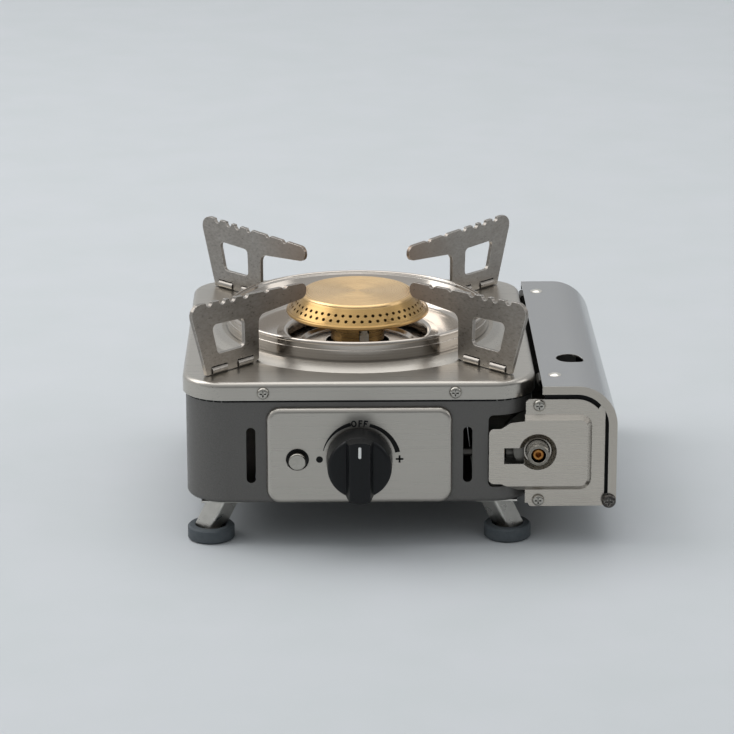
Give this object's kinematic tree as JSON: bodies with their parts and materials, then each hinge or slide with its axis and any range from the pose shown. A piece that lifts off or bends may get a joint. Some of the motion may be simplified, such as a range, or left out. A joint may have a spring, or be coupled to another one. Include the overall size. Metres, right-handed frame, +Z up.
{
  "type": "butane cassette stove",
  "caption": "Portable gas stove: pressed steel housing, brass burner in a drip bowl, folding pot supports, and a cartridge bay beside it under a hinged cover.",
  "frame": {"origin": "on the floor, below the burner's axis", "axes": "+X to the right towards the cartridge bay, +Y to the back away from the control panel, +Z up"},
  "size_m": [0.2528, 0.2531, 0.1446],
  "materials": {
    "housing_paint": "satin grey paint with a fine metallic grain",
    "brushed_panel": "horizontally brushed",
    "bowl_steel": "spun and polished",
    "cover_steel": "brushed along the cover's length",
    "bright_steel": "zinc-plated, satin",
    "nickel": "nickel-plated, semi-gloss",
    "support_steel": "heat-toned stamped steel with bright edges",
    "brass": "turned, satin",
    "knob_plastic": "moulded black, satin",
    "black_plastic": "moulded black",
    "rubber_grey": "matt slate grey",
    "ceramic": "glazed white",
    "lead_sleeve": "silicone sleeve",
    "magnet": "dark ferrite",
    "spring_steel": "tempered, dark"
  },
  "bodies": {
    "stove": {"body_shell": "housing_paint", "bottom_plate": "housing_paint", "top_plate": "brushed_panel", "skirt_screws": "nickel", "drip_bowl": "bowl_steel", "burner_cap": "brass", "burner_base": "brass", "mixing_tube": "bright_steel", "injector": "brass", "burner_bracket": "bright_steel", "gas_valve": "bright_steel", "valve_screws": "nickel", "gas_pipe": "bright_steel", "pipe_nuts": "brass", "control_panel": "brushed_panel", "igniter_spring": "spring_steel", "piezo_igniter": "black_plastic", "igniter_lead": "lead_sleeve", "electrode": "spring_steel", "electrode_insulator": "ceramic", "regulator_body": "bright_steel", "regulator_sleeve": "nickel", "regulator_spring": "spring_steel", "regulator_core": "brass", "magnet_ring": "magnet", "end_plate": "brushed_panel", "bulkhead": "bright_steel", "rear_end_plate": "brushed_panel", "plate_screws": "nickel", "bay_tray": "bright_steel", "cartridge_saddles": "bright_steel", "hinge_screws": "nickel", "hinge_bushes": "black_plastic", "leg_fl": "bright_steel", "foot_fl": "rubber_grey", "support_hinge_fl": "support_steel", "leg_fr": "bright_steel", "foot_fr": "rubber_grey", "support_hinge_fr": "support_steel", "leg_bl": "bright_steel", "foot_bl": "rubber_grey", "support_hinge_bl": "support_steel", "leg_br": "bright_steel", "foot_br": "rubber_grey", "support_hinge_br": "support_steel"},
    "knob": {"knob": "knob_plastic", "valve_stem": "bright_steel"},
    "button": {"igniter_button": "nickel"},
    "cover": {"bay_cover": "cover_steel", "cover_rivets": "nickel", "cover_catches": "spring_steel"},
    "support_fl": {"pot_support_fl": "support_steel"},
    "support_fr": {"pot_support_fr": "support_steel"},
    "support_bl": {"pot_support_bl": "support_steel"},
    "support_br": {"pot_support_br": "support_steel"}
  },
  "joints": [
    {"name": "knob_turn", "type": "hinge", "parent": "stove", "child": "knob", "pos_m": [0, -0.12, 0.0542], "axis": [0, -1, 0], "range_deg": [-90, 90]},
    {"name": "igniter_press", "type": "slide", "parent": "stove", "child": "button", "axis": [0, 1, 0], "range_m": [0, 0.004], "stiffness_N_per_m": 600, "springref_m": -0.003, "deforming": ["igniter_spring"]},
    {"name": "cover_hinge", "type": "hinge", "parent": "stove", "child": "cover", "pos_m": [0.1455, 0, 0.0274], "axis": [0, 1, 0], "range_deg": [0, 95]},
    {"name": "support_fold_fl", "type": "hinge", "parent": "stove", "child": "support_fl", "pos_m": [-0.089, -0.0965, 0.10236], "axis": [-0.7071, -0.7071, 0], "range_deg": [0, 55]},
    {"name": "support_fold_fr", "type": "hinge", "parent": "stove", "child": "support_fr", "pos_m": [0.089, -0.0965, 0.10236], "axis": [-0.7071, 0.7071, 0], "range_deg": [0, 55]},
    {"name": "support_fold_bl", "type": "hinge", "parent": "stove", "child": "support_bl", "pos_m": [-0.089, 0.0965, 0.10236], "axis": [0.7071, -0.7071, 0], "range_deg": [0, 55]},
    {"name": "support_fold_br", "type": "hinge", "parent": "stove", "child": "support_br", "pos_m": [0.089, 0.0965, 0.10236], "axis": [0.7071, 0.7071, 0], "range_deg": [0, 55]}
  ]
}
